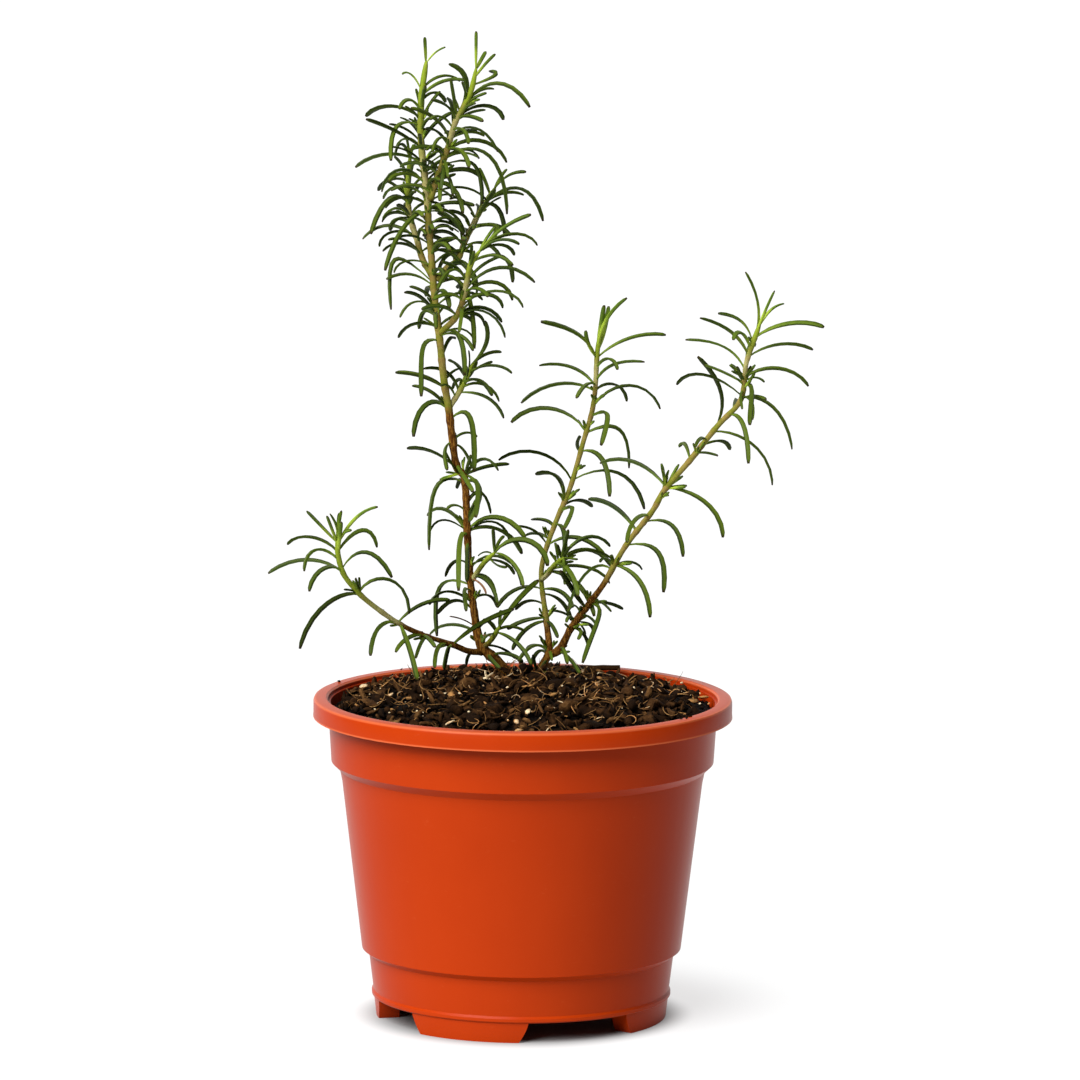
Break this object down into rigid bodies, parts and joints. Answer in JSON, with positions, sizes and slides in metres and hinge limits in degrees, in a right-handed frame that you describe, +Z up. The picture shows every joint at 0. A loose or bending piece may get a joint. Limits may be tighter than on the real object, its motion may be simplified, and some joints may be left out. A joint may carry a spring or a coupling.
{
  "type": "potted rosemary plant",
  "caption": "Young rosemary plant with slender branching stems and narrow arching leaves, rooted in potting mix in a round stepped plastic nursery pot.",
  "frame": {"origin": "on the ground, in the middle of the whole plant's footprint, which the leaves set in X and the pot's rim sets in Y", "axes": "+Z up along the plant's height, +X to the right and +Y away as the plant is seen from its front; the pot's axis stands at X -6.5 mm"},
  "size_m": [0.17, 0.1304, 0.3101],
  "materials": {
    "pot_plastic": "satin",
    "potting_mix": "matt, loose bark and peat",
    "rosemary": "satin leaves on olive to red-brown stems"
  },
  "bodies": {
    "root": {"pot": "pot_plastic", "potting_mix": "potting_mix", "tall_rosemary_plant": "rosemary", "forked_rosemary_plant": "rosemary"}
  },
  "joints": []
}
